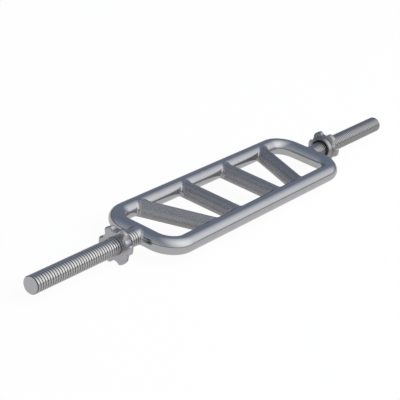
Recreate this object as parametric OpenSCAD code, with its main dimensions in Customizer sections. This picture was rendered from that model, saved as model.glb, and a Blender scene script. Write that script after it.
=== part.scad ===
// Triceps bar: a rounded rectangular tube frame with four knurled cross grips,
// a threaded end at each side for weight plates, and a star collar on each thread.
// X runs along the bar, Y across the frame, Z up. The origin is the middle of the bar.

/* [Frame] */
// Outside diameter of the frame tube
tube_d = 25.4; // [25.2:0.1:30]
// Wall of the frame tube
tube_wall = 3; // [2:0.1:4]
// Distance between the centre lines of the two end rails
frame_l = 430; // [400:1:460]
// Distance between the centre lines of the front and back rails
frame_w = 110; // [100:1:160]
// Radius of the four corner bends, on the centre line of the tube
bend_r = 31.75; // [26:0.25:38]
// Depth of the groove that each butt weld fills
butt_depth = 1.5; // [0.8:0.1:1.8]
// Width of that groove at the tube's surface
butt_w = 3; // [1.5:0.1:5]

/* [Grips] */
// Outside diameter of the knurled grips
grip_d = 25; // [22:0.1:25]
// Wall of the grip tube
grip_wall = 3; // [2:0.1:5]
// Distance between the centre lines of the two inner grips
inner_spread = 103; // [80:1:120]
// Distance between the centre lines of the two outer grips at the front rail
outer_front = 214; // [190:1:230]
// Distance between the centre lines of the two outer grips at the back rail
outer_back = 315; // [280:1:330]
// Leg of the weld beads, along each of the two tubes that they join
weld_leg = 2; // [1.5:0.1:4]

/* [Threaded ends] */
// Length of the whole bar from tip to tip
bar_l = 864; // [760:1:960]
// Outside diameter of the thread
thread_d = 25; // [22:0.1:25]
// Distance from one turn of the thread to the next
pitch = 4.6; // [4:0.1:6]
// Depth of the thread
thread_depth = 1.5; // [0.8:0.1:1.8]
// Width of the thread's groove at the surface of the bar
groove_w = 2.9; // [2:0.1:3.2]
// Slope of the groove's flanks, measured from square across the bar
flank_angle = 18; // [5:1:25]
// Chamfer at the tip
tip_chamfer = 1; // [0.4:0.1:2]
// Diameter of the spigot that plugs the bar into the end rail
spigot_d = 18; // [12:0.5:20]
// Length of spigot that stands inside the end rail's bore
spigot_inside = 4; // [1:0.5:8]

/* [Star collars] */
// Distance from the outside of the end rail to the collar's inner face
collar_gap = 26.1; // [10:0.1:120]
// Length of the collar along the bar
collar_l = 16.4; // [14:0.1:20]
// Diameter over the six lobes
star_d = 55; // [52:0.1:64]
// Diameter at the bottom of the valleys between the lobes
star_root_d = 42.4; // [40:0.2:46]
// Radius of each valley
valley_r = 7.4; // [5:0.1:8]
// Radius of the lobes' corners
lobe_corner_r = 4.2; // [2:0.1:5.5]
// Diameter of the hub's rim, round the rubber ring
hub_d = 36; // [35:0.5:40]
// Length of the hub's cone, from its rim to where the backs of the lobes rise from it
cone_l = 5; // [2:0.1:6]
// Diameter of the hub's cone there
hub_back_d = 40; // [38:0.1:48]
// Rounding round the outer face
star_round = 3.4; // [0.5:0.1:4]
// Radial clearance between the collar and the thread
thread_clear = 0.35; // [0.25:0.05:0.6]
// Clearance along the bar between the collar's thread and the flanks of the groove
flank_clear = 0.35; // [0.25:0.05:0.5]
// How far the left collar is turned about the bar, in degrees
left_turn = 8; // [-30:0.1:30]
// How far the right collar is turned about the bar, in degrees
right_turn = -4.8; // [-30:0.1:30]

/* [Rubber rings] */
// Thickness of the rubber ring
ring_t = 2.2; // [1.8:0.1:3]
// Radial clearance between the rubber ring and the outside of the thread
ring_clear = 0.6; // [0.4:0.1:0.9]
// How far the rubber ring stands out of the collar's inner face
ring_proud = 0.8; // [0.4:0.1:1.2]
// Clearance of the ring in its seat
seat_clear = 0.3; // [0.2:0.05:0.4]

/* [Hidden] */
$fn = 64;
tube_r = tube_d / 2;
grip_r = grip_d / 2;
thread_r = thread_d / 2;
root_r = thread_r - thread_depth;
half_l = frame_l / 2;
half_w = frame_w / 2;
rail_outside = half_l + tube_r;
tip_x = bar_l / 2;
collar_x = rail_outside + collar_gap;
lobes = 6;
// Room that a cut runs past a surface, so that no two faces coincide
past = 1;
// A weld bead's section dips this far under both surfaces that it joins
bead_sink = 0.4;
// Its middle point stands at this share of the leg, raised by bead_rise
bead_share = 0.36;
bead_rise = 0.15;
// Segments round the cylinders that cut a bead
bead_fn = 256;
// Steps round one turn of the thread, and round one weld bead
turn_steps = 16;
bead_steps = 36;
// The groove's middle line passes groove_x at angle 0 and climbs one pitch a turn
groove_x = rail_outside + weld_leg + groove_w;
// The groove deepens over this share of a turn where it starts
run_in = 0.5;
groove_turns = (tip_x + groove_w - groove_x) / pitch;
ring_r = thread_r + ring_clear + ring_t / 2;
seat_r = ring_r + ring_t / 2 + seat_clear;
seat_depth = ring_t - ring_proud + seat_clear;
// Lean of the outer grips from square across the frame
lean = atan2((outer_back - outer_front) / 2, frame_w);

// A ring of tube, drawn flat, for the straight runs and the bends
module tube_section(r, wall) {
    difference() {
        circle(r);
        circle(r - wall);
    }
}

// A round bar along +X from x0 to x1
module bar_x(r, x0, x1) {
    translate([x0, 0, 0]) rotate([0, 90, 0]) cylinder(r = r, h = x1 - x0);
}

// A round bar along +Y from y0 to y1
module bar_y(r, y0, y1) {
    translate([0, y0, 0]) rotate([-90, 0, 0]) cylinder(r = r, h = y1 - y0);
}

// The solid outside of both long rails, for coping what butts against them
module rails_outside() {
    for (y = [-half_w, half_w])
        translate([0, y, 0]) bar_x(tube_r, -half_l, half_l);
}

// The triangular groove round a rail's butt joint at x = 0, which its weld fills flush
module butt_groove(extra) {
    rotate([0, 90, 0]) rotate_extrude()
        polygon([[tube_r - butt_depth, 0],
                 [tube_r + extra, -butt_w / 2 * (1 + extra / butt_depth)],
                 [tube_r + extra, butt_w / 2 * (1 + extra / butt_depth)]]);
}

// One half of the frame: a tube bent twice into a U, open towards the middle
module frame_half() {
    run = half_l - bend_r;
    color("silver") difference() {
        union() {
            for (s = [-1, 1]) {
                translate([0, s * half_w, 0]) rotate([90, 0, 90])
                    linear_extrude(run) tube_section(tube_r, tube_wall);
                translate([run, s * (half_w - bend_r), 0]) rotate([0, 0, s > 0 ? 0 : -90])
                    rotate_extrude(angle = 90)
                        translate([bend_r, 0]) tube_section(tube_r, tube_wall);
            }
            translate([half_l, bend_r - half_w, 0]) rotate([-90, 0, 0])
                linear_extrude(frame_w - 2 * bend_r) tube_section(tube_r, tube_wall);
        }
        for (s = [-1, 1])
            translate([0, s * half_w, 0]) butt_groove(past);
        bar_x(spigot_d / 2, half_l, rail_outside + past);
    }
}

module frame_half_right() {
    frame_half();
}

module frame_half_left() {
    rotate([0, 0, 180]) frame_half();
}

// The weld that closes the joint between the two halves, ground flush with the tube
module front_butt_weld() {
    color("gainsboro") translate([0, -half_w, 0]) butt_groove(0);
}

module back_butt_weld() {
    color("gainsboro") translate([0, half_w, 0]) butt_groove(0);
}

// A cross grip whose centre line meets the front rail at x_front and the back rail at x_back
module grip(x_front, x_back) {
    span = norm([x_back - x_front, frame_w]);
    turn = -atan2(x_back - x_front, frame_w);
    color("dimgray") difference() {
        translate([x_front, -half_w, 0]) rotate([0, 0, turn]) difference() {
            bar_y(grip_r, 0, span);
            bar_y(grip_r - grip_wall, -past, span + past);
        }
        rails_outside();
    }
}

module inner_grip_left() {
    grip(-inner_spread / 2, -inner_spread / 2);
}

module inner_grip_right() {
    grip(inner_spread / 2, inner_spread / 2);
}

module outer_grip_left() {
    grip(-outer_front / 2, -outer_back / 2);
}

module outer_grip_right() {
    grip(outer_front / 2, outer_back / 2);
}

// Weld bead round a branch of radius r that leaves a rail along X from the origin.
// The branch leans by a degrees from +Y towards +X. Points are given by the radius q
// from the branch's axis, the angle t round it and the radius w from the rail's axis.
function depth_at(q, t, w, a) = (sqrt(max(w * w - pow(q * sin(t), 2), 0)) + q * cos(t) * sin(a)) / cos(a);
function branch_point(q, t, s, a) = [s * sin(a) + q * cos(t) * cos(a), s * cos(a) - q * cos(t) * sin(a), q * sin(t)];
function reach(r, t, w) = min(r + weld_leg, w / max(abs(sin(t)), 0.01));
function bead_section(r, t, a) =
    let (toe = reach(r, t, tube_r - bead_sink),
         s = depth_at(r, t, tube_r, a),
         mid = r + bead_share * max(toe - r, 0) + bead_rise,
         deep = 4 * bead_sink)
    [branch_point(toe, t, depth_at(toe, t, tube_r - bead_sink, a), a),
     branch_point(mid, t, s + bead_share * weld_leg, a),
     branch_point(r - bead_sink, t, s + weld_leg, a),
     branch_point(r - deep, t, depth_at(r - deep, t, tube_r - deep, a), a)];

// A closed loop of n sections with k points each, as a polyhedron
module closed_sweep(points, n, k) {
    faces = [for (i = [0 : n - 1], j = [0 : k - 1])
        let (p = i * k + j, q = i * k + (j + 1) % k,
             u = ((i + 1) % n) * k + j, v = ((i + 1) % n) * k + (j + 1) % k)
        each [[p, u, v], [p, v, q]]];
    polyhedron(points, faces);
}

module weld_bead(r, a) {
    difference() {
        closed_sweep([for (i = [0 : bead_steps - 1]) each bead_section(r, i * 360 / bead_steps, a)],
                     bead_steps, 4);
        rotate([0, 0, -a]) bar_y(r, 0, 2 * tube_d, $fn = bead_fn);
        bar_x(tube_r, -2 * tube_d, 2 * tube_d, $fn = bead_fn);
    }
}

// Both beads of a grip: the front one points up the grip, the back one down it
module grip_welds(x_front, x_back) {
    a = atan2(x_back - x_front, frame_w);
    color("gainsboro") {
        translate([x_front, -half_w, 0]) weld_bead(grip_r, a);
        translate([x_back, half_w, 0]) rotate([0, 0, 180]) weld_bead(grip_r, a);
    }
}

module inner_grip_welds_left() {
    grip_welds(-inner_spread / 2, -inner_spread / 2);
}

module inner_grip_welds_right() {
    grip_welds(inner_spread / 2, inner_spread / 2);
}

module outer_grip_welds_left() {
    grip_welds(-outer_front / 2, -outer_back / 2);
}

module outer_grip_welds_right() {
    grip_welds(outer_front / 2, outer_back / 2);
}

// The bead round the threaded bar, where it meets the end rail
module end_weld() {
    color("gainsboro") translate([half_l, 0, 0]) rotate([0, 0, -90]) weld_bead(thread_r, 0);
}

module end_weld_right() {
    end_weld();
}

module end_weld_left() {
    rotate([0, 0, 180]) end_weld();
}

// One section of a helical sweep about X: radii r_out and r_in, with the widths there
function helix_section(t, r_out, r_in, w_out, w_in) =
    let (x = groove_x + pitch * t / 360)
    [[x - w_out / 2, r_out * cos(t), r_out * sin(t)], [x + w_out / 2, r_out * cos(t), r_out * sin(t)],
     [x + w_in / 2, r_in * cos(t), r_in * sin(t)], [x - w_in / 2, r_in * cos(t), r_in * sin(t)]];

// The width of the groove at radius r
function groove_width(r) = groove_w - 2 * (thread_r - r) * tan(flank_angle);

// An open helical sweep of sections with 4 points each, closed by its two end faces
module helix_sweep(sections) {
    n = len(sections) - 1;
    faces = concat(
        [[0, 2, 1], [0, 3, 2]],
        [for (i = [0 : n - 1], k = [0 : 3])
            let (a = 4 * i + k, b = 4 * i + (k + 1) % 4)
            each [[a, b + 4, a + 4], [a, b, b + 4]]],
        [[4 * n, 4 * n + 1, 4 * n + 2], [4 * n, 4 * n + 2, 4 * n + 3]]);
    polyhedron([for (s = sections) each s], faces);
}

// The bar's helical groove. It starts shallow near the weld and runs out through the tip.
module groove() {
    n = ceil(groove_turns * turn_steps);
    out_r = thread_r + past;
    helix_sweep([for (i = [0 : n])
        let (t = i * 360 / turn_steps,
             share = min(1, i / (run_in * turn_steps)),
             in_r = thread_r + past / 2 - share * (thread_depth + past / 2))
        helix_section(t, out_r, in_r, groove_width(out_r), groove_width(in_r))]);
}

// The solid threaded bar, coped to the end rail and plugged into it by a spigot
module threaded_end() {
    color("silver") difference() {
        union() {
            difference() {
                bar_x(thread_r, half_l, tip_x - tip_chamfer);
                translate([half_l, 0, 0]) bar_y(tube_r, -half_w, half_w);
            }
            translate([tip_x - tip_chamfer, 0, 0]) rotate([0, 90, 0])
                cylinder(r1 = thread_r, r2 = thread_r - tip_chamfer, h = tip_chamfer);
            bar_x(spigot_d / 2, rail_outside - tube_wall - spigot_inside, rail_outside + past);
        }
        groove();
    }
}

module threaded_end_right() {
    threaded_end();
}

module threaded_end_left() {
    rotate([0, 0, 180]) threaded_end();
}

// Outline of the star: round lobes with round corners, and a round valley between each two
module star_outline() {
    r = star_d / 2;
    c = lobe_corner_r;
    valley_x = star_root_d / 2 + valley_r;
    // Angle from a valley's middle to the centre of the corner arc beside it, where the
    // arc touches both the valley and the circle over the lobes
    corner_at = acos((pow(valley_x, 2) + pow(r - c, 2) - pow(valley_r + c, 2)) / (2 * valley_x * (r - c)));
    half_lobe = 180 / lobes - corner_at;
    difference() {
        union() {
            circle(r - c);
            for (i = [0 : lobes - 1]) rotate(i * 360 / lobes) {
                intersection() {
                    circle(r);
                    polygon([[0, 0], [2 * r, -2 * r * tan(half_lobe)], [2 * r, 2 * r * tan(half_lobe)]]);
                }
                for (s = [-1, 1])
                    rotate(s * half_lobe) translate([r - c, 0]) circle(c);
            }
        }
        for (i = [0 : lobes - 1])
            rotate((i + 0.5) * 360 / lobes) translate([valley_x, 0]) circle(valley_r);
    }
}

// Half section of the collar, as radius against distance from its inner face. The backs of
// the lobes are an arc from the end of the hub's cone to the widest place.
module collar_profile() {
    r = star_d / 2;
    rise = r - hub_back_d / 2;
    widest = collar_l - star_round;
    back_r = (pow(rise, 2) + pow(widest - cone_l, 2)) / (2 * rise);
    polygon([[0, 0], [hub_d / 2, 0], [hub_back_d / 2, cone_l], [r - star_round, widest],
             [r - star_round, collar_l], [0, collar_l]]);
    intersection() {
        translate([r - back_r, widest]) circle(back_r);
        translate([hub_back_d / 2, cone_l]) square([rise, widest - cone_l]);
    }
    translate([r - star_round, widest]) circle(star_round);
}

// The collar's own thread, which follows the groove of the bar with clearance all round
module collar_thread() {
    // Between two steps the sweep cuts the corner, so its points stand further out
    tip_r = (root_r + thread_clear) / cos(180 / turn_steps);
    base_r = thread_r + thread_clear + past;
    base_w = groove_width(base_r) - 2 * flank_clear;
    from = collar_x + seat_depth + base_w / 2 + seat_clear;
    to = collar_x + collar_l - base_w / 2 - seat_clear;
    n = floor((to - from) / pitch * turn_steps);
    start = (from - groove_x) / pitch * 360;
    helix_sweep([for (i = [0 : n])
        helix_section(start + i * 360 / turn_steps, base_r, tip_r,
                      base_w, groove_width(tip_r) - 2 * flank_clear)]);
}

// A star collar on the right-hand threaded end, turned about the bar by turn degrees
module star_collar(turn) {
    color("lightgray") union() {
        translate([collar_x, 0, 0]) rotate([turn, 0, 0]) rotate([90, 0, 90]) difference() {
            intersection() {
                linear_extrude(collar_l) star_outline();
                rotate_extrude() collar_profile();
            }
            translate([0, 0, -past])
                cylinder(r = thread_r + thread_clear, h = collar_l + 2 * past);
            translate([0, 0, -past]) cylinder(r = seat_r, h = seat_depth + past);
        }
        collar_thread();
    }
}

module star_collar_right() {
    star_collar(right_turn);
}

module star_collar_left() {
    rotate([0, 0, 180]) star_collar(left_turn);
}

// The rubber ring in the seat of the collar's inner face
module rubber_ring() {
    color("black") translate([collar_x - ring_proud + ring_t / 2, 0, 0]) rotate([0, 90, 0])
        rotate_extrude() translate([ring_r, 0]) circle(ring_t / 2);
}

module rubber_ring_right() {
    rubber_ring();
}

module rubber_ring_left() {
    rotate([0, 0, 180]) rubber_ring();
}

frame_half_left();
frame_half_right();
front_butt_weld();
back_butt_weld();
inner_grip_left();
inner_grip_right();
outer_grip_left();
outer_grip_right();
inner_grip_welds_left();
inner_grip_welds_right();
outer_grip_welds_left();
outer_grip_welds_right();
threaded_end_left();
threaded_end_right();
end_weld_left();
end_weld_right();
star_collar_left();
star_collar_right();
rubber_ring_left();
rubber_ring_right();
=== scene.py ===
"""Looks of the triceps bar: chrome-plated tube, knurled grips, threads, welds, star collars, rubber rings.

All lengths are in metres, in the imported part's own frame: X along the bar, Y across the frame, Z up.
"""
import math

import bmesh
import bpy
import numpy as np
from mathutils import Matrix, Vector


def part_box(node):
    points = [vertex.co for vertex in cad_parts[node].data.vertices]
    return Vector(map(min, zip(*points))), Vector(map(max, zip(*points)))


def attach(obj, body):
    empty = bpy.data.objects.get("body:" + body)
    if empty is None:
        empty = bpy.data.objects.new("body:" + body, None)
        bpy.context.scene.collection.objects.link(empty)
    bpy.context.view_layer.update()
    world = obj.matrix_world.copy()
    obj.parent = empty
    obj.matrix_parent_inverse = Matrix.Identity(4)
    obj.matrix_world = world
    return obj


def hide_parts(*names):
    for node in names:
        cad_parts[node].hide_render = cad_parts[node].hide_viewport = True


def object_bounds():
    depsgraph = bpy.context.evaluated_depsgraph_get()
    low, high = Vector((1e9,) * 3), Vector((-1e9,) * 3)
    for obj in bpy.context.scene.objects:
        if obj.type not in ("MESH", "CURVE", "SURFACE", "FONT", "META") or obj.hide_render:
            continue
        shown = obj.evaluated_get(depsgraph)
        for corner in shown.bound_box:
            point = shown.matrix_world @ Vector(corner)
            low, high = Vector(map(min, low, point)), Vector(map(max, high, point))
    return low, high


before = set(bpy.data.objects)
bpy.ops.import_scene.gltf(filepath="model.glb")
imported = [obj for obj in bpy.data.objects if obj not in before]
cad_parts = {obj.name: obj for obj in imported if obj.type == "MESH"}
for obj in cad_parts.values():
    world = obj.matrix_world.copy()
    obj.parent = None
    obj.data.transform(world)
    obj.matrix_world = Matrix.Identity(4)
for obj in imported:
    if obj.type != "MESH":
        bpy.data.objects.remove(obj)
cad_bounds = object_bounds()

MM = 0.001
TAU = 2 * math.pi
RIGHT_ANGLE = math.pi / 2


def corner(node, side):
    """One corner of a node's box at rest, side 0 the lowest and 1 the highest, as an array."""
    return np.array(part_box(node)[side])


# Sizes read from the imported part
TUBE_R = corner("frame_half_right", 1)[2]
HALF_L = corner("frame_half_right", 1)[0] - TUBE_R
HALF_W = corner("frame_half_right", 1)[1] - TUBE_R
THREAD_R = corner("threaded_end_right", 1)[2]
TIP_X = corner("threaded_end_right", 1)[0]
GRIP_R = corner("inner_grip_right", 1)[2]
INNER_X = (corner("inner_grip_right", 0)[0] + corner("inner_grip_right", 1)[0]) / 2
COLLAR_X = corner("star_collar_right", 0)[0]
COLLAR_L = corner("star_collar_right", 1)[0] - COLLAR_X
BUTT_W = corner("front_butt_weld", 1)[0] - corner("front_butt_weld", 0)[0]
RING_X = (corner("rubber_ring_right", 0)[0] + corner("rubber_ring_right", 1)[0]) / 2
RING_T = corner("rubber_ring_right", 1)[0] - corner("rubber_ring_right", 0)[0]
RING_R = corner("rubber_ring_right", 1)[2] - RING_T / 2
FLOOR_Z = cad_bounds[0][2]

# Frame and grips: sizes that a box doesn't show
TUBE_WALL = 3 * MM
BEND_R = 31.75 * MM
OUTER_FRONT = 107 * MM
OUTER_BACK = 157.5 * MM
BUTT_DEPTH = 1.5 * MM
WELD_LEG = 2 * MM
KNURLS_ROUND = 32
KNURL_DEPTH = 0.42 * MM
PLAIN_END = 4 * MM

# Threaded ends
RAIL_X = HALF_L + TUBE_R
PITCH = 4.6 * MM
THREAD_DEPTH = 1.5 * MM
GROOVE_W = 2.9 * MM
GROOVE_X = RAIL_X + WELD_LEG + GROOVE_W
CREST_POWER = 5
TIP_CHAMFER = 1 * MM
SPIGOT_R = 9 * MM
SPIGOT_IN = 4 * MM

# Star collars and their rubber rings
STAR_R = 27.5 * MM
STAR_ROOT_R = 21.2 * MM
VALLEY_R = 7.4 * MM
LOBE_R = 4.2 * MM
STAR_ROUND = 3.4 * MM
STAR_BLEND = 1.6 * MM
HUB_R = 18 * MM
HUB_BACK_R = 20 * MM
HUB_ROUND = 0.5 * MM
CONE_L = 5 * MM
THREAD_CLEAR = 0.35 * MM
BORE_CHAMFER = 0.1 * MM
RING_PROUD = 0.8 * MM
SEAT_CLEAR = 0.3 * MM
LEFT_TURN = math.radians(8)
RIGHT_TURN = math.radians(-4.8)

# Steps round each kind of surface
TUBE_STEPS = 96
BEAD_STEPS = 180
THREAD_STEPS = 80
STAR_STEPS = 384
RING_STEPS = 128


def smooth(x):
    """A step that starts and ends flat: 0 below 0, 1 above 1, and 3x^2 - 2x^3 between."""
    x = np.clip(x, 0, 1)
    return x * x * (3 - 2 * x)


def soft_min(a, b, width):
    """The smaller of two values, with the corner between them rounded over the given width."""
    near = np.maximum(width - np.abs(a - b), 0) / width
    return np.minimum(a, b) - near * near * width / 4


def around(count):
    """Angles round a full turn, without the last, which is the first again."""
    return np.arange(count) * TAU / count


def points_at(x, y, z):
    """Points from three coordinates, each an array or a number."""
    return np.stack(np.broadcast_arrays(x, y, z), -1)


def turned(points, radians):
    """Points turned about the Z axis."""
    c, s = math.cos(radians), math.sin(radians)
    return points @ np.array([[c, s, 0], [-s, c, 0], [0, 0, 1]])


def on_side(points, side):
    """Points made for the right half, turned by half a turn about Z for the left one."""
    return points if side > 0 else turned(points, math.pi)


def mesh_object(name, points, faces, crisp=False):
    """A new mesh object from an array of points and a list of face arrays, one for each corner count."""
    mesh = bpy.data.meshes.new(name)
    mesh.vertices.add(len(points))
    mesh.vertices.foreach_set("co", np.asarray(points, np.float32).ravel())
    loops = np.concatenate([f.ravel() for f in faces])
    totals = np.concatenate([np.full(len(f), f.shape[1]) for f in faces])
    mesh.loops.add(len(loops))
    mesh.loops.foreach_set("vertex_index", loops.astype(np.int32))
    mesh.polygons.add(len(totals))
    mesh.polygons.foreach_set("loop_start", (np.cumsum(totals) - totals).astype(np.int32))
    mesh.polygons.foreach_set("loop_total", totals.astype(np.int32))
    mesh.polygons.foreach_set("use_smooth", np.full(len(totals), not crisp))
    mesh.update(calc_edges=True)
    mesh.validate()
    piece = bpy.data.objects.new(name, mesh)
    bpy.context.scene.collection.objects.link(piece)
    return piece


def grid_faces(rows, columns, wrap_rows=False, lattice=False):
    """Faces over a grid that closes round its columns, and round its rows if asked. Seen from outside
    they run anticlockwise when rows climb along the axis and columns turn right-handed round it. A
    lattice is cut into triangles whose diagonals alternate, so that they follow crossed grooves."""
    index = np.arange(rows * columns).reshape(rows, columns)
    low = index if wrap_rows else index[:-1]
    high = np.roll(index, -1, 0) if wrap_rows else index[1:]
    a, b, c, d = low, np.roll(low, -1, 1), np.roll(high, -1, 1), high
    if not lattice:
        return [np.stack([a, b, c, d], -1).reshape(-1, 4)]
    row, column = np.indices(a.shape)
    even = ((row + column) % 2 == 0)[..., None, None]
    one = np.stack([np.stack([a, b, c], -1), np.stack([a, c, d], -1)], -2)
    two = np.stack([np.stack([a, b, d], -1), np.stack([b, c, d], -1)], -2)
    return [np.where(even, one, two).reshape(-1, 3)]


def closed_tube(name, points, lattice=False, crisp=False):
    """A surface over rows of points that close round an axis, with a fan over the first and last row."""
    rows, columns = points.shape[:2]
    faces = grid_faces(rows, columns, lattice=lattice)
    first, last = np.arange(columns), (rows - 1) * columns + np.arange(columns)
    pole = rows * columns
    faces.append(np.stack([np.roll(first, -1), first, np.full(columns, pole)], -1))
    faces.append(np.stack([last, np.roll(last, -1), np.full(columns, pole + 1)], -1))
    ends = np.stack([points[0].mean(0), points[-1].mean(0)])
    return mesh_object(name, np.concatenate([points.reshape(-1, 3), ends]), faces, crisp)


def ring_surface(name, points):
    """A surface over rows of points that close both ways, as on a ring or a hollow tube."""
    rows, columns = points.shape[:2]
    return mesh_object(name, points.reshape(-1, 3), grid_faces(rows, columns, wrap_rows=True))


def joined_rings(name, groups):
    """One object from several ring surfaces."""
    points, faces, start = [], [], 0
    for group in groups:
        rows, columns = group.shape[:2]
        faces.append(grid_faces(rows, columns, wrap_rows=True)[0] + start)
        points.append(group.reshape(-1, 3))
        start += rows * columns
    return mesh_object(name, np.concatenate(points), faces)


def edited(piece, change):
    """Applies a change to a piece's mesh."""
    edit = bmesh.new()
    edit.from_mesh(piece.data)
    change(edit)
    edit.to_mesh(piece.data)
    edit.free()


def merge_doubles(piece):
    """Joins points that lie together, which drops the faces between rows that end at the same seam."""
    edited(piece, lambda edit: bmesh.ops.remove_doubles(edit, verts=edit.verts, dist=1e-7))


def outward_normals(piece):
    """Turns every face of a closed surface outwards."""
    edited(piece, lambda edit: bmesh.ops.recalc_face_normals(edit, faces=edit.faces))


def sharpen(piece, degrees):
    """Marks the edges where two faces meet at more than this angle as sharp, for their shading."""
    def mark(edit):
        for edge in edit.edges:
            edge.smooth = edge.calc_face_angle(0) < math.radians(degrees)
    edited(piece, mark)


class Value:
    """A node's output that arithmetic works on: each sign adds a Math node to the finish's tree."""

    def __init__(self, finish, socket):
        self.finish, self.socket = finish, socket

    def _math(self, operation, *terms):
        return self.finish.node("ShaderNodeMath", {"operation": operation}, dict(enumerate(terms)))

    def __add__(self, other):
        return self._math("ADD", self, other)

    def __radd__(self, other):
        return self._math("ADD", other, self)

    def __sub__(self, other):
        return self._math("SUBTRACT", self, other)

    def __rsub__(self, other):
        return self._math("SUBTRACT", other, self)

    def __mul__(self, other):
        return self._math("MULTIPLY", self, other)

    def __rmul__(self, other):
        return self._math("MULTIPLY", other, self)

    def __pow__(self, other):
        return self._math("POWER", self, other)

    def __abs__(self):
        return self._math("ABSOLUTE", self)

    def sine(self):
        """Sine of the value, in radians."""
        return self._math("SINE", self)


class Finish:
    """The node tree of one material or of the world."""

    def __init__(self, tree):
        self.tree = tree
        tree.nodes.clear()

    def node(self, kind, settings=None, sockets=None, output=0):
        """Adds a node, applies its settings, then fills its sockets with values or links."""
        made = self.tree.nodes.new(kind)
        for key, value in (settings or {}).items():
            setattr(made, key, value)
        for key, value in (sockets or {}).items():
            if isinstance(value, Value):
                self.tree.links.new(value.socket, made.inputs[key])
            else:
                made.inputs[key].default_value = value
        return Value(self, made.outputs[output]) if made.outputs else None

    def place(self):
        """The point's place on the object at rest."""
        return self.node("ShaderNodeTexCoord", output="Object")

    def parts(self, vector):
        """The three coordinates of a vector."""
        return [self.node("ShaderNodeSeparateXYZ", sockets={0: vector}, output=k) for k in range(3)]

    def stretch(self, vector, scale):
        """A vector scaled before a pattern reads it."""
        return self.node("ShaderNodeMapping", sockets={"Vector": vector, "Scale": scale})

    def noise(self, where, scale, detail=3.0, roughness=0.5):
        """Noise from 0 to 1, with that many features a metre."""
        return self.node("ShaderNodeTexNoise", sockets={"Vector": where, "Scale": scale, "Detail": detail,
                                                        "Roughness": roughness})

    def mix(self, factor, first, second):
        """A colour between two colours, which may be links."""
        return self.node("ShaderNodeMix", {"data_type": "RGBA"}, {0: factor, 6: first, 7: second}, output=2)

    def range(self, value, low, high, linear=False):
        """0 at low and past it, 1 at high and past it, with a climb between that starts and ends flat, or
        is straight. High may be the smaller one."""
        return self.node("ShaderNodeMapRange", {"interpolation_type": "LINEAR" if linear else "SMOOTHSTEP"},
                         {"Value": value, "From Min": low, "From Max": high})

    def bump(self, height, distance, strength, normal=None):
        """A normal tilted by a height in units of the distance, over another normal if one is given."""
        sockets = {"Height": height, "Distance": distance, "Strength": strength}
        if normal is not None:
            sockets["Normal"] = normal
        return self.node("ShaderNodeBump", sockets=sockets)

    def ray(self, kind):
        """1 for rays of one kind and 0 for the rest."""
        return self.node("ShaderNodeLightPath", output=kind)

    def close(self, sockets):
        """Closes a material with its surface shader."""
        shader = self.node("ShaderNodeBsdfPrincipled", sockets=sockets)
        self.node("ShaderNodeOutputMaterial", sockets={"Surface": shader})


def material(name):
    """A new material and the finish that fills its tree."""
    made = bpy.data.materials.new(name)
    made.use_nodes = True
    return made, Finish(made.node_tree)


def colour(r, g, b):
    """A colour with its alpha, as sockets take it."""
    return (r, g, b, 1.0)


def bright_chrome():
    """Bright plate over polished tube: faint polishing lines, slow waves in the plate, a haze of handling
    and a few dull specks."""
    made, finish = material("bright_chrome")
    where = finish.place()
    clean, hazy, dull = colour(0.55, 0.552, 0.56), colour(0.51, 0.512, 0.52), colour(0.30, 0.30, 0.31)
    haze = finish.range(finish.noise(where, 28, 4, 0.6), 0.45, 0.75)
    speck = finish.range(finish.noise(where, 900, 2), 0.66, 0.8)
    waves = finish.noise(where, 110, 2)
    lines = finish.noise(finish.stretch(where, (60, 900, 900)), 1, 3)
    finish.close({
        "Base Color": finish.mix(speck * 0.35, finish.mix(haze, clean, hazy), dull),
        "Metallic": 1.0,
        "Roughness": 0.09 + haze * 0.05 + lines * 0.04,
        "Normal": finish.bump(lines, 0.008 * MM, 0.5, finish.bump(waves, 0.06 * MM, 0.35))})
    return made


def weld_chrome(name, axis, rail, branch_tone):
    """Plate over a weld bead: bright where it runs out on its rail, whose centre line lies at the given
    place on an axis. Towards the piece welded to it, it has the given tone, duller, with bright specks of
    painted glint."""
    made, finish = material(name)
    where = finish.place()
    rail_tone, glint_speck_tone = colour(0.54, 0.545, 0.56), colour(0.56, 0.56, 0.58)
    parts = finish.parts(where)
    off = abs(parts[axis]) - rail
    proud = (off * off + parts[2] * parts[2]) ** 0.5 - TUBE_R
    dull = finish.range(proud, 0.3 * MM, 0.9 * MM)
    grain = finish.noise(where, 700, 3)
    # Painted highlight: brighter specks stand in for glints on the bead's ripples
    speck = finish.range(finish.noise(where, 260, 2), 0.56, 0.66)
    finish.close({
        "Base Color": finish.mix(dull, rail_tone, finish.mix(speck * 0.5, branch_tone, glint_speck_tone)),
        "Metallic": 1.0,
        "Roughness": 0.14 + dull * 0.12,
        "Normal": finish.bump(grain, 0.04 * MM, 0.5)})
    return made


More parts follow.
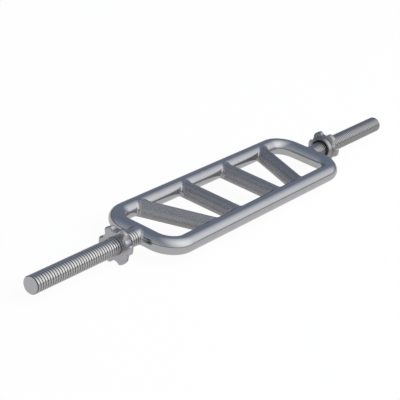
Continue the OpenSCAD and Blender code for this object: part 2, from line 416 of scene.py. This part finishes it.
def thread_chrome(name, crest_tone, groove_shade_tone):
    """Plate over a cut thread: crests and grooves of the given tones, the grooves' dark tone being painted
    shade with a little grime, painted shade darkening the underside, and turning rings on the end face."""
    made, finish = material(name)
    where = finish.place()
    face_tone, shade_and_grime_tone = colour(0.56, 0.56, 0.57), colour(0.08, 0.08, 0.082)
    turning_feed = 0.45 * MM
    x, y, z = finish.parts(where)
    radius = (y * y + z * z) ** 0.5
    crest = finish.range(radius, THREAD_R - 0.4 * THREAD_DEPTH, THREAD_R - 0.2 * THREAD_DEPTH)
    face = finish.range(abs(x), TIP_X - 0.3 * MM, TIP_X - 0.1 * MM)
    bright = 1 - (1 - crest) * (1 - face)
    # Painted shade darkens the underside towards a near-black tone; in the grooves the darkening, varied by
    # noise, is painted shade and grime together
    under = finish.range(z, 0.6 * THREAD_R, -0.1 * THREAD_R) * (1 - face)
    grime = finish.noise(where, 260, 4, 0.6)
    shade_and_grime = under * 0.3 + grime * (1 - bright) * 0.3
    turning = (radius * (TAU / turning_feed)).sine()
    tone = finish.mix(face, finish.mix(bright, groove_shade_tone, crest_tone), face_tone)
    finish.close({
        "Base Color": finish.mix(shade_and_grime, tone, shade_and_grime_tone),
        "Metallic": 1.0,
        "Roughness": 0.10 - bright * 0.05 + grime * 0.04,
        "Normal": finish.bump(turning * face, 0.03 * MM, 0.6, finish.bump(grime, 0.03 * MM, 0.4))})
    return made


def cast_chrome():
    """Plate over a casting: bright on its polished outer side, duller and greyer on the hub and the backs
    of the lobes, which were left as cast."""
    made, finish = material("cast_chrome")
    where = finish.place()
    along = abs(finish.parts(where)[0])
    as_cast = finish.range(along, COLLAR_X + 0.75 * COLLAR_L, COLLAR_X + 0.5 * COLLAR_L)
    grain = finish.noise(where, 420, 4, 0.6)
    patch = finish.noise(where, 60, 3)
    polished = finish.mix(patch, colour(0.50, 0.50, 0.51), colour(0.56, 0.56, 0.57))
    rough = finish.mix(grain, colour(0.34, 0.335, 0.335), colour(0.46, 0.455, 0.455))
    finish.close({
        "Base Color": finish.mix(as_cast, polished, rough),
        "Metallic": 1.0,
        "Roughness": 0.17 + patch * 0.06 + grain * 0.04 + as_cast * 0.06,
        "Normal": finish.bump(grain, 0.04 * MM, 0.3)})
    return made


def knurl_chrome():
    """Thin plate over a knurl: its points keep a lighter tone, and its grooves are painted darker by the
    knurl's height, as painted shade with some dirt.
    """
    made, finish = material("knurl_chrome")
    where = finish.place()
    groove, point, dirty = colour(0.30, 0.30, 0.305), colour(0.52, 0.515, 0.52), colour(0.24, 0.24, 0.242)
    relief = finish.node("ShaderNodeAttribute", {"attribute_name": "relief"}, output="Fac")
    dirt = finish.range(finish.noise(where, 380, 3, 0.6), 0.35, 0.65)
    # Painted shade: the tone darkens with the knurl's relief down into the grooves
    tone = finish.mix(finish.range(relief, 0.1, 0.9), groove, point)
    finish.close({
        "Base Color": finish.mix(dirt * 0.2, tone, dirty),
        "Metallic": 1.0,
        "Roughness": 0.26 + dirt * 0.1,
        "Normal": finish.bump(finish.noise(where, 2200, 2), 0.03 * MM, 0.5)})
    return made


def black_rubber():
    """Matt rubber with a fine grain and a little dust."""
    made, finish = material("black_rubber")
    where = finish.place()
    clean, dusty = colour(0.012, 0.012, 0.013), colour(0.05, 0.05, 0.05)
    dust = finish.range(finish.noise(where, 300, 4, 0.65), 0.5, 0.8)
    finish.close({
        "Base Color": finish.mix(dust * 0.5, clean, dusty),
        "Roughness": 0.6 + dust * 0.2,
        "Normal": finish.bump(finish.noise(where, 1800, 3), 0.05 * MM, 0.5)})
    return made


def rail_outline():
    """Centre line of one half of the frame from the front butt joint round the end rail to the back one,
    as X, Y and outward direction. Straight runs are straight, and each bend is a quarter circle."""
    bend_steps, run_steps = 28, 12
    run = HALF_L - BEND_R
    turn = np.linspace(0, RIGHT_ANGLE, bend_steps + 1)
    front = np.linspace(BUTT_W / 2, run, run_steps, endpoint=False)
    side = np.linspace(BEND_R - HALF_W, HALF_W - BEND_R, run_steps + 1)[1:-1]
    xs = np.concatenate([front, run + BEND_R * np.sin(turn), np.full(len(side), HALF_L),
                         run + BEND_R * np.cos(turn), front[::-1]])
    ys = np.concatenate([np.full(len(front), -HALF_W), BEND_R - HALF_W - BEND_R * np.cos(turn), side,
                         HALF_W - BEND_R + BEND_R * np.sin(turn), np.full(len(front), HALF_W)])
    angle = np.concatenate([np.full(len(front), -RIGHT_ANGLE), turn - RIGHT_ANGLE, np.zeros(len(side)),
                            turn, np.full(len(front), RIGHT_ANGLE)])
    return xs, ys, angle


def frame_half(name, side):
    """Half of the frame: rings of the tube's radius carried along its centre line, outside and then back
    along the bore, with the bevel of the butt joint at both ends."""
    xs, ys, angle = rail_outline()
    t = around(TUBE_STEPS)
    centre = points_at(xs, ys, 0.0)
    out = points_at(np.cos(angle), np.sin(angle), 0.0)
    joint, joint_out = centre[[0, -1]] * (0, 1, 1), out[[0, -1]]

    def rings(place, direction, radius):
        spoke = np.cos(t)[:, None] * direction[:, None] + np.sin(t)[:, None] * np.array([0, 0, 1.0])
        return place[:, None] + radius * spoke

    bevel = rings(joint, joint_out, TUBE_R - BUTT_DEPTH)
    bore_ends = rings(joint, joint_out, TUBE_R - TUBE_WALL)
    outer = rings(centre, out, TUBE_R)
    inner = rings(centre, out, TUBE_R - TUBE_WALL)[::-1]
    points = np.concatenate([bevel[:1], outer, bevel[1:], bore_ends[1:], inner, bore_ends[:1]])
    piece = ring_surface(name, on_side(points, side))
    sharpen(piece, 30)
    return piece


def butt_weld(name, y):
    """A weld ground flush: a ring with a triangular section, its outer face softly crowned."""
    crown = 0.01 * MM
    across = np.linspace(-1, 1, 9)
    xs = np.append(across * BUTT_W / 2, 0)[:, None]
    radii = np.append(TUBE_R - crown * across ** 2, TUBE_R - BUTT_DEPTH)[:, None]
    t = around(TUBE_STEPS)
    piece = ring_surface(name, points_at(xs, y + radii * np.cos(t), radii * np.sin(t)))
    sharpen(piece, 30)
    return piece


def seam_depth(q, t, lean, rail):
    """Distance along a branch, from the rail's axis, at which the point at radius q and angle t round the
    branch meets a cylinder of radius rail round the rail."""
    height = np.sqrt(np.maximum(rail ** 2 - (q * np.sin(t)) ** 2, 0))
    return (height + q * np.cos(t) * math.sin(lean)) / math.cos(lean)


def on_branch(q, t, s, lean):
    """Point at radius q, angle t and distance s of a branch that starts at the origin along +Y and leans
    towards +X."""
    x = s * math.sin(lean) + q * np.cos(t) * math.cos(lean)
    y = s * math.cos(lean) - q * np.cos(t) * math.sin(lean)
    return points_at(x, y, q * np.sin(t))


def bead(r, lean, seed):
    """Weld bead round a branch of radius r. Across the bead a quadratic curve runs from the toe on the
    rail to the toe on the branch, both sunk a little into the metal and wobbling round the seam. It is
    pulled in towards the seam and stands a little proud, with ripples along it. A root row closes it in
    the joint. The seed shifts the wobble and the ripples, so that no two beads are alike."""
    sink, proud, ripple_height, root = 0.05 * MM, 0.1 * MM, 0.09 * MM, 1.6 * MM
    pull, ripples = 0.45, 26
    highest = TUBE_R - 0.1 * MM
    t = around(BEAD_STEPS)
    reach = np.minimum(r + WELD_LEG, highest / np.maximum(np.abs(np.sin(t)), 0.01))
    wobble = 1 + 0.05 * np.sin(5 * t + seed) + 0.04 * np.sin(11 * t + 2 * seed)
    toe_q = r + (reach - r) * np.where(reach > r, wobble, 1)
    seam_s = seam_depth(r, t, lean, TUBE_R)
    seam = on_branch(r, t, seam_s, lean)
    rail_toe = on_branch(toe_q, t, seam_depth(toe_q, t, lean, TUBE_R - sink), lean)
    branch_toe = on_branch(r - sink, t, seam_s + WELD_LEG * wobble, lean)
    control = seam + pull * ((rail_toe + branch_toe) / 2 - seam)
    outward = on_branch(r + 1, t, seam_s, lean) - seam + np.array([math.sin(lean), math.cos(lean), 0])
    outward = outward / np.linalg.norm(outward, axis=1, keepdims=True)
    ripple = ripple_height * np.abs(np.sin(ripples * t + 0.6 * np.sin(3 * t + seed)))
    u = np.linspace(0, 1, 9)[:, None, None]
    curve = (1 - u) ** 2 * rail_toe + 2 * u * (1 - u) * control + u ** 2 * branch_toe
    arch = 4 * u * (1 - u) * (ripple + proud)[:, None]
    root_row = on_branch(r - root, t, seam_depth(r - root, t, lean, TUBE_R - root), lean)
    return np.concatenate([curve + outward * arch, root_row[None]])


def grip_lean(x_front, x_back):
    """Angle by which a grip between the two long rails leans along the bar."""
    return math.atan2(x_back - x_front, 2 * HALF_W)


def grip_welds(name, x_front, x_back, seed):
    """The two beads of a grip, one at each rail."""
    lean = grip_lean(x_front, x_back)
    front = bead(GRIP_R, lean, seed) + np.array([x_front, -HALF_W, 0])
    back = turned(bead(GRIP_R, lean, seed + 1.7), math.pi) + np.array([x_back, HALF_W, 0])
    piece = joined_rings(name, [front, back])
    outward_normals(piece)
    return piece


def end_weld(name, side):
    """The bead between the threaded bar and the end rail."""
    points = turned(bead(THREAD_R, 0, 0.4 + side), -RIGHT_ANGLE) + np.array([HALF_L, 0, 0])
    piece = ring_surface(name, on_side(points, side))
    outward_normals(piece)
    return piece


def knurl(turns, along):
    """Height of a diamond knurl from 0 to 1: the lower of two triangle waves along grooves that cross,
    with the points of the diamonds worn flat."""
    worn = 0.8

    def wave(phase):
        return 1 - np.abs(2 * (phase % 1) - 1)
    return np.minimum(np.minimum(wave(turns + along), wave(turns - along)), worn) / worn


def grip(name, x_front, x_back):
    """A grip: the knurl's height over a cylinder, on a lattice with four steps a diamond. The knurl fades
    out near both ends, which stay plain. The grip is cut off where it meets the two rails and closed
    there along the rails' surface. Each point keeps its knurl height as the attribute relief."""
    steps, knurl_angle, fade = 4, math.radians(30), 1 * MM
    lean = grip_lean(x_front, x_back)
    span = 2 * HALF_W / math.cos(lean)
    diamond_l = TAU * GRIP_R / KNURLS_ROUND / math.tan(knurl_angle)
    count = math.ceil(span / 2 / diamond_l) * steps
    s = (np.arange(-count, count + 1) * diamond_l / steps + span / 2)[:, None]
    t = around(KNURLS_ROUND * steps)

    def ends(q):
        return seam_depth(q, t, lean, TUBE_R), span - seam_depth(q, t + math.pi, lean, TUBE_R)

    low, high = ends(GRIP_R)
    s = np.clip(s, low, high)
    relief = knurl(t / TAU * KNURLS_ROUND, (s - span / 2) / diamond_l)
    relief = relief + (1 - relief) * (1 - smooth((np.minimum(s - low, high - s) - PLAIN_END) / fade))
    body = on_branch(GRIP_R - KNURL_DEPTH * (1 - relief), t, s, lean)
    wide, narrow = [[on_branch(share * GRIP_R, t, end, lean) for end in ends(share * GRIP_R)]
                    for share in (0.66, 0.33)]
    points = np.concatenate([[narrow[0]], [wide[0]], body, [wide[1]], [narrow[1]]])
    points = points + np.array([x_front, -HALF_W, 0])
    height = np.concatenate([np.ones((2, len(t))), relief, np.ones((2, len(t)))])
    piece = closed_tube(name, points[:, ::-1], lattice=True, crisp=True)
    attribute = piece.data.attributes.new("relief", "FLOAT", "POINT")
    attribute.data.foreach_set("value", np.append(height[:, ::-1].ravel(), [1, 1]).astype(np.float32))
    merge_doubles(piece)
    return piece


def groove_share(x, t):
    """Share of the thread's full depth at place x and angle t. From the middle of the crest to the middle
    of the groove, away runs from 0 to 1, and the depth grows as its power CREST_POWER: a rounded crest
    and a narrow groove. The groove climbs one pitch a turn, right-handed."""
    away = 1 - 2 * np.abs(((x - GROOVE_X - PITCH * t / TAU) / PITCH + 0.5) % 1 - 0.5)
    return away ** CREST_POWER


def threaded_end(name, side):
    """A threaded bar: the groove's depth taken from a cylinder, on rings from the end rail to the tip,
    where a chamfer closes it. The groove runs in right beside the weld. Inside the rail a spigot stands
    in the bore."""
    steps_per_pitch, edge, run_in_l = 18, 0.15 * MM, 1 * MM
    t = around(THREAD_STEPS)
    x = np.arange(RAIL_X + 0.5 * MM, TIP_X - TIP_CHAMFER, PITCH / steps_per_pitch)
    x = np.concatenate([x, TIP_X - TIP_CHAMFER * np.linspace(1, 0, 5)])[:, None]
    run_in = smooth((x - RAIL_X - 1.1 * WELD_LEG) / run_in_l)
    radius = THREAD_R - THREAD_DEPTH * groove_share(x, t) * run_in
    chamfer = THREAD_R - np.maximum(x - TIP_X + TIP_CHAMFER, 0)
    radius = soft_min(radius, chamfer, edge)

    def ring(r, place):
        return points_at(place, r * np.cos(t), r * np.sin(t))

    def cope(r):
        return HALF_L + seam_depth(r, t, 0, TUBE_R)

    spigot_x = RAIL_X - TUBE_WALL - SPIGOT_IN
    spigot = [ring(SPIGOT_R / 2, spigot_x), ring(SPIGOT_R, spigot_x), ring(SPIGOT_R, cope(SPIGOT_R)),
              ring(THREAD_R, cope(THREAD_R))]
    tip = [ring(radius[-1] * share, TIP_X) for share in (0.9, 0.6, 0.3)]
    points = np.concatenate([spigot, ring(radius, x), tip])
    piece = closed_tube(name, on_side(points, side))
    sharpen(piece, 32)
    return piece


def star_radius(t, inset):
    """Radius of the star's outline at angle t, drawn in by inset all round: the circle over the lobes,
    the round corners of each lobe and the round valleys between them all keep their centres."""
    half_sector = math.pi / 6
    corner_off, valley_off = STAR_R - LOBE_R, STAR_ROOT_R + VALLEY_R
    reach = VALLEY_R + LOBE_R
    corner_at = math.acos((valley_off ** 2 + corner_off ** 2 - reach ** 2) / (2 * valley_off * corner_off))
    valley_centre = np.array([valley_off, 0])
    corner_centre = corner_off * np.array([math.cos(corner_at), math.sin(corner_at)])
    meet = valley_centre + (VALLEY_R + inset) / reach * (corner_centre - valley_centre)
    lobe = np.abs((t + half_sector) % (2 * half_sector) - half_sector)
    valley = half_sector - lobe
    half_lobe = half_sector - corner_at
    off = lobe - half_lobe
    on_corner = corner_off * np.cos(off) + np.sqrt(
        np.maximum((LOBE_R - inset) ** 2 - (corner_off * np.sin(off)) ** 2, 0))
    in_valley = valley_off * np.cos(valley) - np.sqrt(
        np.maximum((VALLEY_R + inset) ** 2 - (valley_off * np.sin(valley)) ** 2, 0))
    radius = np.where(valley < math.atan2(meet[1], meet[0]), in_valley, on_corner)
    return np.where(lobe < half_lobe, STAR_R - inset, radius)


def star_collar(name, side, turn):
    """A star collar: rings from the bore over the seat of the rubber ring, the hub's rim and cone, the
    lobes and the outer face, back into the bore with its inner thread. Behind the widest place each ring
    is the softer minimum of the star's outline and a circle: the hub's cone first, then an arc that ends
    square to the outline. The rim of the outer face is a quarter circle that draws the outline in."""
    t = around(STAR_STEPS)
    own = t - turn
    bore_r = THREAD_R + THREAD_CLEAR
    seat_r = RING_R + RING_T / 2 + SEAT_CLEAR
    seat_depth = RING_T - RING_PROUD + SEAT_CLEAR
    seat_corner, seat_edge, thread_gap = 0.2 * MM, 0.15 * MM, 0.1 * MM

    def ring(r, place):
        return points_at(COLLAR_X + place, r * np.cos(t), r * np.sin(t))

    rows = [ring(bore_r, seat_depth), ring(seat_r - seat_corner, seat_depth),
            ring(seat_r, seat_depth - seat_corner), ring(seat_r, seat_edge), ring(seat_r + seat_edge, 0),
            ring(HUB_R - HUB_ROUND, 0)]
    rows += [ring(HUB_R - HUB_ROUND * (1 - math.sin(a)), HUB_ROUND * (1 - math.cos(a)))
             for a in np.linspace(0, RIGHT_ANGLE, 5)[1:]]

    widest = COLLAR_L - STAR_ROUND
    rise = STAR_R - HUB_BACK_R
    arc_r = (rise ** 2 + (widest - CONE_L) ** 2) / (2 * rise)
    cone = [(place, HUB_R + (HUB_BACK_R - HUB_R) * place / CONE_L)
            for place in np.linspace(HUB_ROUND + 0.3 * MM, CONE_L, 8)]
    arc = [(widest - arc_r * math.sin(a), STAR_R - arc_r * (1 - math.cos(a)))
           for a in np.linspace(math.asin((widest - CONE_L) / arc_r), 0, 20)[1:]]
    rows += [ring(soft_min(star_radius(own, 0), circle, STAR_BLEND), place) for place, circle in cone + arc]

    for a in np.linspace(0, RIGHT_ANGLE, 11)[1:]:
        outline = star_radius(own, STAR_ROUND * (1 - math.cos(a)))
        blended = soft_min(outline, STAR_R, STAR_BLEND)
        outline = outline + (blended - outline) * (1 - math.sin(a))
        rows.append(ring(outline, widest + STAR_ROUND * math.sin(a)))

    mouth_r, mouth = bore_r + BORE_CHAMFER, COLLAR_L - BORE_CHAMFER
    rows += [ring(mouth_r + (star_radius(own, STAR_ROUND) - mouth_r) * share, COLLAR_L)
             for share in (0.8, 0.45, 0.15)]
    rows += [ring(mouth_r, COLLAR_L), ring(bore_r, mouth)]
    for place in np.linspace(mouth - thread_gap, seat_depth + thread_gap, 56):
        run_out = smooth((place - seat_depth) / MM) * smooth((mouth - place) / (0.3 * MM))
        rows.append(ring(bore_r - THREAD_DEPTH * groove_share(COLLAR_X + place, t) * run_out, place))

    piece = ring_surface(name, on_side(np.stack(rows), side))
    outward_normals(piece)
    sharpen(piece, 40)
    return piece


def rubber_ring(name, side):
    """A rubber ring with a round section and a faint moulding line, sunk into it at its inner and its
    outer side."""
    line_depth, line_sharpness = 0.03 * MM, 9
    t, u = around(RING_STEPS), around(RING_STEPS // 4)[:, None]
    section = RING_T / 2 - line_depth * smooth(1 - np.abs(np.sin(u)) * line_sharpness)
    radius = RING_R + section * np.cos(u)
    points = points_at(RING_X + section * np.sin(u), radius * np.cos(t), radius * np.sin(t))
    piece = ring_surface(name, on_side(points, side))
    outward_normals(piece)
    return piece


def place_piece(piece, node, finish, body="frame"):
    """Dresses a piece, lets it ride on its body and stand for its CAD node."""
    piece.data.materials.append(finish)
    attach(piece, body)
    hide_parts(node)


def make_bar():
    """Every piece of the bar."""
    chrome, cast, knurled, rubber = bright_chrome(), cast_chrome(), knurl_chrome(), black_rubber()
    grip_weld = weld_chrome("weld_chrome_grips", 1, HALF_W, colour(0.36, 0.36, 0.365))
    bar_weld = weld_chrome("weld_chrome_ends", 0, HALF_L, colour(0.40, 0.40, 0.41))
    # The two threads are alike: the left thread's brighter crests and darker grooves are painted highlight
    # and painted shade, not a difference in the metal
    left_thread = thread_chrome("thread_chrome_left", colour(0.64, 0.63, 0.62), colour(0.06, 0.06, 0.06))
    right_thread = thread_chrome("thread_chrome_right", colour(0.47, 0.465, 0.46), colour(0.14, 0.14, 0.14))
    for word, side, turn, thread in (("left", -1, LEFT_TURN, left_thread),
                                     ("right", 1, RIGHT_TURN, right_thread)):
        place_piece(frame_half(f"frame_tube_{word}", side), f"frame_half_{word}", chrome)
        for kind, x_front, x_back, seed in (("inner", INNER_X, INNER_X, 1),
                                            ("outer", OUTER_FRONT, OUTER_BACK, 3)):
            front, back = side * x_front, side * x_back
            node = f"{kind}_grip_{word}"
            place_piece(grip(f"knurled_{node}", front, back), node, knurled)
            beads = grip_welds(f"beads_{kind}_{word}", front, back, 2.3 * side + seed)
            place_piece(beads, f"{kind}_grip_welds_{word}", grip_weld)
        place_piece(end_weld(f"bead_end_{word}", side), f"end_weld_{word}", bar_weld)
        place_piece(threaded_end(f"thread_{word}", side), f"threaded_end_{word}", thread)
        place_piece(star_collar(f"star_{word}", side, turn), f"star_collar_{word}", cast,
                    f"{word}_collar")
        place_piece(rubber_ring(f"rubber_{word}", side), f"rubber_ring_{word}", rubber,
                    f"{word}_collar_carrier")
    for word, y in (("front", -HALF_W), ("back", HALF_W)):
        place_piece(butt_weld(f"butt_{word}", y), f"{word}_butt_weld", chrome)


def make_camera():
    """The camera that fits the photo: it looks down at the bar from beyond its left end."""
    azimuth, elevation, roll = math.radians(-60.016), math.radians(25.177), math.radians(10.685)
    distance, focal_px, frame_px = 2.01256, 1382.009, 400
    aim_x, aim_y = -0.040824, -0.020667
    above = Vector((0, 0, 1))
    back = Vector((math.sin(azimuth) * math.cos(elevation), -math.cos(azimuth) * math.cos(elevation),
                   math.sin(elevation)))
    level = above.cross(back).normalized()
    centre = back * distance
    target = level * aim_x + back.cross(level) * aim_y
    axis = (centre - target).normalized()
    flat = above.cross(axis).normalized()
    rise = axis.cross(flat)
    right = flat * math.cos(roll) + rise * math.sin(roll)
    up = rise * math.cos(roll) - flat * math.sin(roll)
    lens = bpy.data.cameras.new("camera")
    lens.sensor_width = 36
    lens.lens = focal_px / frame_px * lens.sensor_width
    lens.clip_start, lens.clip_end = 0.05, 50
    camera = bpy.data.objects.new("camera", lens)
    camera.matrix_world = Matrix((
        (right.x, up.x, axis.x, centre.x), (right.y, up.y, axis.y, centre.y),
        (right.z, up.z, axis.z, centre.z), (0, 0, 0, 1)))
    bpy.context.scene.collection.objects.link(camera)
    bpy.context.scene.camera = camera


def make_floor():
    """A wide pale floor just under the collars. Seen straight it glows white, with a small share of the
    lit floor and its shadow left in. Metal shows it as a pale grey, with painted shade that darkens it behind
    the bar."""
    half, below = 6.0, 0.05 * MM
    white, near_tone, behind_shade_tone = colour(1, 1, 1), colour(0.67, 0.66, 0.665), colour(0.30, 0.30, 0.32)
    points = np.array([[-half, -half, 0], [half, -half, 0], [half, half, 0], [-half, half, 0]])
    floor = mesh_object("floor", points + np.array([0, 0, FLOOR_Z - below]), [np.array([[0, 1, 2, 3]])])
    made, finish = material("pale_floor")
    mirrored = finish.ray("Is Glossy Ray")
    behind = finish.parts(finish.place())[1]
    # Painted shade: the grey that metal mirrors darkens from 0.15 to 0.4 m behind the bar
    pale = finish.mix(finish.range(behind, 0.15, 0.4), near_tone, behind_shade_tone)
    lit = finish.node("ShaderNodeBsdfDiffuse", sockets={"Color": colour(0.9, 0.9, 0.9)})
    tone = finish.mix(mirrored, white, pale)
    glow = finish.node("ShaderNodeEmission", sockets={"Color": tone, "Strength": 1.0})
    seen = finish.ray("Is Camera Ray") * 0.95 + mirrored * 0.9 + finish.ray("Is Transmission Ray") * 0.95
    mixed = finish.node("ShaderNodeMixShader", sockets={0: seen, 1: lit, 2: glow})
    finish.node("ShaderNodeOutputMaterial", sockets={"Surface": mixed})
    floor.data.materials.append(made)


def make_world():
    """Soft studio light. The sky is a dim blue-grey, a little lighter over the left end. A broad soft
    source stands in front of the bar and above it. Two thin lighter strips run low beyond the left end,
    and a thin dark line where the floor ends. Seen straight the world is white."""
    key_azimuth, key_elevation = math.radians(-68), math.radians(38)
    dim_sky, left_sky = colour(0.215, 0.250, 0.335), colour(0.40, 0.43, 0.50)
    key_tone, strip_tone = colour(1.33, 1.33, 1.34), colour(0.80, 0.82, 0.86)
    line_tone, white = colour(0.16, 0.16, 0.17), colour(1, 1, 1)
    strips = ((0.25, 0.045, 0.9), (0.52, 0.03, 0.5))  # height, half width and strength of each
    world = bpy.data.worlds.new("studio")
    bpy.context.scene.world = world
    world.use_nodes = True
    finish = Finish(world.node_tree)
    x, y, z = finish.parts(finish.node("ShaderNodeTexCoord", output="Generated"))
    key = Vector((math.cos(key_azimuth), math.sin(key_azimuth), math.tan(key_elevation))).normalized()
    facing_key = x * key.x + y * key.y + z * key.z
    share = finish.range(facing_key, 0.35, 1.0, linear=True) ** 1.25
    sky = finish.mix(finish.range(x * -1, 0.0, 1.0, linear=True), dim_sky, left_sky)
    lit = finish.mix(share, sky, key_tone)
    left = finish.range(x, -0.2, -0.6)
    for height, width, strength in strips:
        strip = finish.range(abs(z - height), width, width * 0.3)
        lit = finish.mix(strip * left * strength, lit, strip_tone)
    lit = finish.mix(finish.range(z, 0.03, 0.16), line_tone, lit)
    seen = finish.mix(finish.ray("Is Camera Ray"), lit, white)
    background = finish.node("ShaderNodeBackground", sockets={"Color": seen, "Strength": 1.0})
    finish.node("ShaderNodeOutputWorld", sockets={"Surface": background})


def make_light(name, place, size, power):
    """A square soft lamp that looks at the bar and isn't mirrored in it."""
    lamp = bpy.data.lights.new(name, "AREA")
    lamp.shape, lamp.size, lamp.energy = "SQUARE", size, power
    light = bpy.data.objects.new(name, lamp)
    light.location = place
    light.rotation_euler = (-Vector(place)).to_track_quat("-Z", "Y").to_euler()
    light.visible_glossy = False
    bpy.context.scene.collection.objects.link(light)


make_camera()
make_bar()
make_floor()
make_world()
make_light("key", (0.6, -1.6, 1.9), size=2.0, power=40)
bpy.context.scene.view_settings.view_transform = "Standard"
